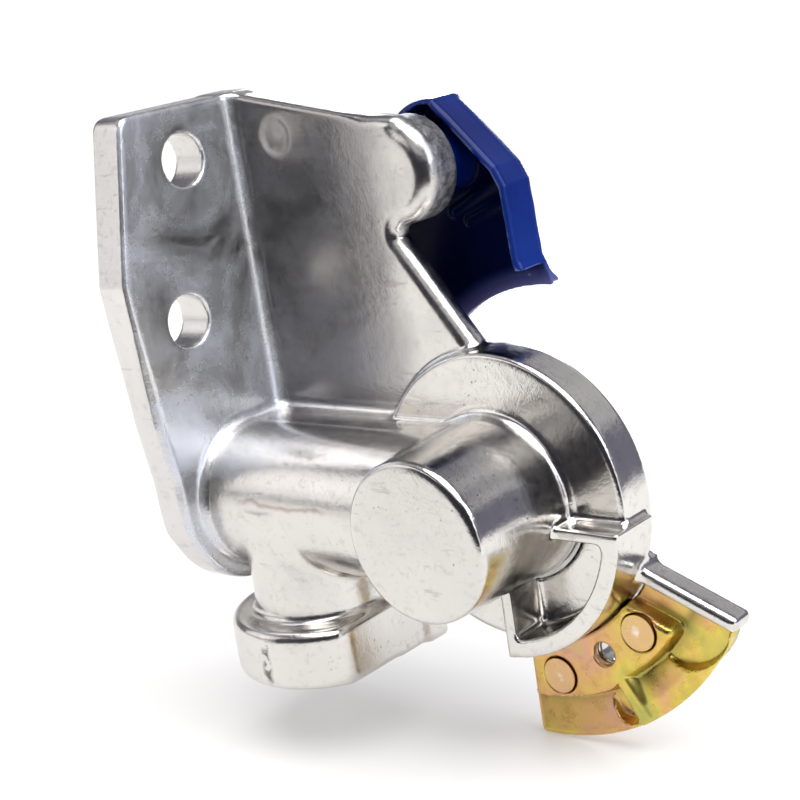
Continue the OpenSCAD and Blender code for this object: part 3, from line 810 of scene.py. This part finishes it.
def blue_paint():
    """Glossy dark blue paint, with painted shade inside the cover, a painted lilac sheen on its rolled edge,
    and pale patches along its other edges, partly chips and partly painted highlight.
    """
    s = Surface("blue_paint")
    big = s.grain(40, 3, 0.5)
    fine = s.grain(1400, 2, 0.5)
    col = s.ramp(big, (0.3, (0.001, 0.009, 0.095)), (0.7, (0.002, 0.020, 0.17)))
    # Painted shade inside the pan, which faces -Y at any swing of the cover; it is less glossy there too
    faces_in = s.grey(s.times(s.parts(s.geometry["Normal"])[1], -1.0), (0.15, 0), (0.6, 1))
    deep = s.zone(s.parts(s.place)[1], (43, 0), (46, 1))
    off_edge = s.zone(s.off_axis(HEAD), (47.5, 0), (53, 1))
    inside = s.times(faces_in, deep, off_edge)
    # Painted lilac sheen on the rolled edge round the seal, and pale patches on the other edges, partly
    # chips and partly painted highlight
    col = s.mix(s.times(s.less(1.0, off_edge), 0.55), col, (0.16, 0.15, 0.32))
    edge = s.grey(s.geometry["Pointiness"], (0.54, 0), (0.60, 1))
    chip_and_glint_patches = s.grey(s.grain(130, 3, 0.6), (0.47, 0), (0.55, 1))
    col = s.mix(s.times(edge, chip_and_glint_patches, 0.7), col, (0.28, 0.36, 0.62))
    s.set("Base Color", s.mix(s.times(inside, 0.85), col, (0.001, 0.001, 0.006)))
    s.set("Roughness", s.add(s.times(big, 0.14), 0.12))
    s.set("Specular IOR Level", s.less(0.25, s.times(inside, 0.18)))
    s.bump(s.add(big, s.times(fine, 0.06)), 0.35, 0.0006)
    return s.material


def plain(name, colour, rough, metallic=0.0, scale=300, depth=0.0002, vary=0.25):
    """One colour that varies a little, with a fine grain."""
    s = Surface(name)
    fine = s.grain(scale, 4, 0.6)
    big = s.grain(scale / 8, 3, 0.5)
    dark = tuple(k * (1 - vary) for k in colour)
    light = tuple(min(1, k * (1 + vary * 0.6)) for k in colour)
    s.set("Base Color", s.ramp(big, (0.32, dark), (0.68, light)))
    s.set("Metallic", metallic)
    s.set("Roughness", s.add(s.times(fine, 0.25), rough - 0.12))
    s.bump(fine, 0.4, depth)
    return s.material


METAL = dict(metallic=1.0, scale=400, depth=0.0001)
PLAIN = {
    "bright_steel": dict(colour=(0.62, 0.62, 0.61), rough=0.25, **METAL),
    "spring_steel": dict(colour=(0.25, 0.25, 0.26), rough=0.32, **METAL),
    "plug_steel": dict(colour=(0.42, 0.42, 0.43), rough=0.36, **METAL),
    "cast_rivet": dict(colour=(0.74, 0.74, 0.75), rough=0.3, **METAL),
    "bronze": dict(colour=(0.62, 0.38, 0.18), rough=0.38, metallic=1.0, scale=500, depth=0.0001),
    "black_rubber": dict(colour=(0.022, 0.022, 0.023), rough=0.55, scale=500),
    "white_plastic": dict(colour=(0.78, 0.78, 0.74), rough=0.45, depth=0.0001, vary=0.1),
    "fibre": dict(colour=(0.36, 0.2, 0.1), rough=0.65, scale=700),
}
MATS = {"cast_aluminium": cast_metal(), "zinc_yellow": plated(), "blue_paint": blue_paint()}
MATS.update({name: plain(name, **look) for name, look in PLAIN.items()})
body.data.materials.append(MATS["cast_aluminium"])
plate_piece.data.materials.append(MATS["zinc_yellow"])
shell.data.materials.append(MATS["blue_paint"])

# The other pieces are the CAD nodes, with their sharp edges broken by so many mm
BEVELS = {"rivet_upper": 0.35, "rivet_lower": 0.35, "pivot_pin": 0.5, "thrust_washer": 0.15,
          "flat_washer": 0.15, "pin_clip": 0.15, "stop_pin": 0.3, "rear_plug": 0.4, "face_seal": 0.6,
          "cover_pad": 0.5, "pad_rivet": 0.25, "pivot_bush": 0.3, "filter_frame": 0.2, "filter_cap": 0.3,
          "seal_ring": 0.2}
slots = {s["node"]: s["material_slot"] for s in frame["record"]["subparts"]}
for name, ob in frame["nodes"].items():
    if name in BEVELS:
        bevel = ob.modifiers.new("edge", "BEVEL")
        bevel.width = BEVELS[name] * MM
        bevel.segments = 2
        bevel.limit_method = "ANGLE"
        bevel.angle_limit = deg(40)
    ob.data.materials.clear()
    ob.data.materials.append(MATS[slots[name]])

# ---------------------------------------------------------------- camera
right = Vector((0.751, 0.643, -0.151))
back = Vector((0.658, -0.711, 0.249)).normalized()
cam_data = bpy.data.cameras.new("camera")
cam_data.lens = 78.95
cam_data.sensor_width = 36
cam_data.clip_end = 500
cam = add_object("camera", cam_data)
right = (right - back * right.dot(back)).normalized()
pose = Matrix((right, back.cross(right), back)).transposed().to_4x4()
pose.translation = Vector((351.7, -297.5, 65.0)) * MM
cam.matrix_world = pose
bpy.context.scene.camera = cam


# ---------------------------------------------------------------- floor, in metres from here on
def mesh_object(bm, name):
    """A new object from a bmesh, which is freed."""
    me = bpy.data.meshes.new(name)
    bm.to_mesh(me)
    bm.free()
    return add_object(name, me)


def backdrop():
    """A round floor that rises gently far away, so that little horizon shows."""
    bm = bmesh.new()
    rings = [(2.0, 0.0), (6.0, 0.0), (10.0, 0.10), (16.0, 0.55), (24.0, 1.6), (34.0, 3.4)]
    sides = 72
    old = [bm.verts.new((0, 0, 0))] * sides
    for radius, height in rings:
        angles = [2 * math.pi * i / sides for i in range(sides)]
        new = [bm.verts.new((radius * math.cos(a), radius * math.sin(a), height)) for a in angles]
        for i in range(sides):
            j = (i + 1) % sides
            face = [old[i], new[i], new[j]]
            if old[i] is not old[j]:
                face.append(old[j])
            bm.faces.new(face)
        old = new
    ob = mesh_object(bm, "floor")
    ob.data.shade_smooth()
    return ob


# The floor is level in the part's own frame, just under the detent sheet, its lowest piece
FLOOR_Z = -0.1364
floor = backdrop()
floor.location = (0.05, 0.05, FLOOR_Z)
paper = Surface("floor_paper")
paper.set("Base Color", (0.74, 0.73, 0.71))
paper.set("Roughness", 0.9)
paper.set("Emission Color", (1.0, 0.975, 0.94))
paper.set("Emission Strength", 0.17)
floor.data.materials.append(paper.material)


# ---------------------------------------------------------------- lights
def facing(place, aim):
    """The rotation of a light at place that shines at aim."""
    return (Vector(aim) - Vector(place)).to_track_quat("-Z", "Y").to_euler()


def light_box(name, place, aim, power, colour, width, height=None):
    """A soft area light, square unless it has a height. Sizes are in metres and power in watts."""
    d = bpy.data.lights.new(name, "AREA")
    d.energy = power
    d.color = colour
    d.size = width
    if height:
        d.shape = "RECTANGLE"
        d.size_y = height
    ob = add_object(name, d)
    ob.location = place
    ob.rotation_euler = facing(place, aim)


sun_data = bpy.data.lights.new("overhead", "SUN")
sun_data.energy = 3.0
sun_data.angle = deg(60)
sun = add_object("overhead", sun_data)
sun.rotation_euler = facing((0.30, -0.10, 1.0), (0, 0, 0))
light_box("right_box", (0.95, 0.05, 0.30), (0.05, 0, -0.05), 4.2, (0.82, 0.89, 1.0), 0.6)
light_box("left_box", (-0.75, -0.85, 0.50), (0.05, 0, -0.06), 3.6, (1.0, 0.98, 0.96), 1.5, 0.8)
light_box("back_strip", (-0.35, 0.75, 0.22), (0.05, 0, -0.05), 2.0, (0.95, 0.96, 1.0), 0.5, 0.12)


def card(name, radius, start, end, top, tone):
    """A curved flag on the floor, seen only as the dark bands in the bright metal."""
    bm = bmesh.new()
    bottom = -0.136
    steps = 12
    low, high = [], []
    for i in range(steps + 1):
        a = deg(start + (end - start) * i / steps)
        for z, row in ((bottom, low), (top, high)):
            row.append(bm.verts.new((0.05 + radius * math.cos(a), radius * math.sin(a), z)))
    for i in range(steps):
        bm.faces.new((low[i], low[i + 1], high[i + 1], high[i]))
    ob = mesh_object(bm, name)
    felt = Surface(name)
    felt.set("Base Color", tone)
    felt.set("Roughness", 0.9)
    ob.data.materials.append(felt.material)
    ob.visible_camera = False
    ob.visible_diffuse = False
    ob.visible_shadow = False


card("dark_card", 0.27, -120, -18, 0.10, (0.02, 0.02, 0.03))
card("grey_card", 0.60, -8, 105, 0.16, (0.17, 0.17, 0.22))

# Soft light and dark clouds all round, for the metal to mirror
world = bpy.data.worlds.new("studio")
bpy.context.scene.world = world
world.use_nodes = True
sky = Nodes(world.node_tree)
around = sky.tree.nodes.new("ShaderNodeTexCoord").outputs["Generated"]
clouds = sky.ramp(sky.noise(around, 1.6, 2.0), (0.40, (0.10, 0.10, 0.14)), (0.62, (0.55, 0.55, 0.57)))
background = sky.tree.nodes["Background"]
sky.feed(background.inputs["Color"], clouds)
background.inputs["Strength"].default_value = 1.0
bpy.context.scene.view_settings.view_transform = "Standard"
